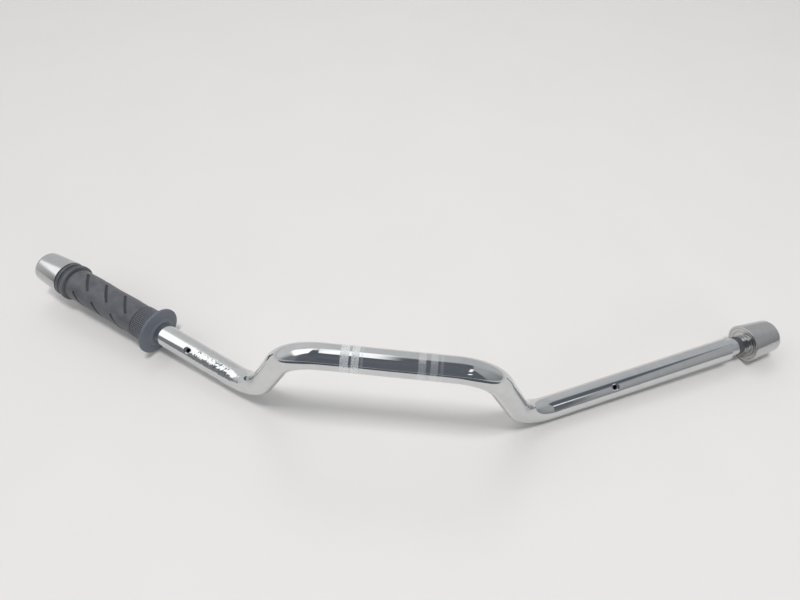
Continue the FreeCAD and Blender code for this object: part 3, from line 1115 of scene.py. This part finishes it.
BAR = (0.0, 0.0, -0.1)
lamp("overhead", (0.05, -0.28, 2.4), BAR, (0.46, 0.42), 28.0)
lamp("window_beyond", (-0.5, 1.7, 2.3), (0.0, 0.1, -0.1), (1.1, 0.8), 5.5, (1.0, 0.985, 0.965))
lamp("front_fill", (4.6, -5.5, 1.7), BAR, (5.9, 3.8), 130.0)

# %% [markdown]
# The bench has a front edge, and the dark room continues below it. A dark card lying there
# gives the chrome that edge. It is matt blue-black paint, and only mirrors ever see it.

# %% Dark card at the bench's front edge
CARD_EDGE = ((-0.9, -0.24), (-0.17, -0.24), (-0.09, -0.36), (0.07, -0.36), (0.14, -0.23),
             (0.9, -0.23), (0.9, -1.8), (-0.9, -1.8))
CARD_GAP = 0.0005


def painted_card():
    """Matt blue-black paint, a little uneven."""
    material, tree, _, inputs = mottled("matt_painted_card", 60.0, 3.0, ("#4d545c", "#5a5e66"))
    finish_material(tree, inputs | {"Roughness": 0.8})
    return material


def seen_by(made, camera=False, mirrors=False):
    """Let a stage piece be seen by the camera or by mirrors only; it casts no shadow."""
    made.visible_camera = camera
    made.visible_glossy = mirrors
    made.visible_diffuse = False
    made.visible_transmission = False
    made.visible_shadow = False


card_mesh = bpy.data.meshes.new("dark_card")
card_mesh.from_pydata([(x, y, 0.0) for x, y in CARD_EDGE], [], [range(len(CARD_EDGE))])
card_mesh.materials.append(painted_card())
card = linked("dark_card", card_mesh)
card_lift = Vector((0.0, 0.0, bench_point.dot(bench_normal))) + bench_normal * CARD_GAP
card.matrix_world = Matrix.Translation(card_lift) @ bench_tilt
seen_by(card, mirrors=True)

# %% [markdown]
# A pale plastered wall stands far behind the bench all round, so that a low view from any side
# ends in a plain wall. Only the camera sees it, so it changes neither light nor mirrors.

# %% Round wall
WALL_RADIUS = 5.8
WALL_FOOT = -0.6
WALL_HEIGHT = 4.5
WALL_PARTS = 96


def pale_plaster():
    """Matt pale plaster with a soft, wide unevenness."""
    material, tree, _, inputs = mottled("pale_plaster", 1250.0, 3.0, ("#f4f3f2", "#eeedec"))
    finish_material(tree, inputs | {"Roughness": 0.9})
    return material


wall_build = bmesh.new()
bmesh.ops.create_circle(wall_build, radius=WALL_RADIUS, segments=WALL_PARTS)
raised = bmesh.ops.extrude_edge_only(wall_build, edges=list(wall_build.edges))["geom"]
for part in raised:
    if isinstance(part, bmesh.types.BMVert):
        part.co.z += WALL_HEIGHT
wall = linked("round_wall", to_mesh(wall_build, "round_wall"))
wall.data.materials.append(pale_plaster())
for face in wall.data.polygons:
    face.use_smooth = True
wall.location = (0.0, 0.0, WALL_FOOT)
seen_by(wall, camera=True)
print("stage: bench top, dark card, round wall")

# %% [markdown]
# ## Camera
#
# The camera stands in front of the bar, a little to the right of its middle, looking down
# about fifty degrees through a wide phone-like lens, with a slight roll.

# %% Camera
LENS_MM = 27.0
YAW, PITCH, ROLL = 0.055, 0.916, -0.052
CAMERA_PLACE = Vector((20.24, -249.76, 409.1)) * MM


def look():
    """Camera transform from its place, yaw, downward pitch and roll."""
    turn = (Matrix.Rotation(YAW, 3, "Z") @ Matrix.Rotation(-PITCH, 3, "X")
            @ Matrix.Rotation(ROLL, 3, "Y"))
    axes = Matrix((turn.col[0], turn.col[2], -turn.col[1])).transposed()
    return Matrix.Translation(CAMERA_PLACE) @ axes.to_4x4()


camera_data = bpy.data.cameras.new("camera")
camera_data.lens = LENS_MM
camera_data.sensor_width = 36.0
camera_data.clip_start = 0.01
camera = linked("camera", camera_data)
camera.matrix_world = look()
bpy.context.scene.camera = camera
bpy.context.scene.view_settings.view_transform = "Standard"
print("camera, mm:", tuple(round(v / MM, 1) for v in CAMERA_PLACE))

# %% Finish
bpy.context.view_layer.update()
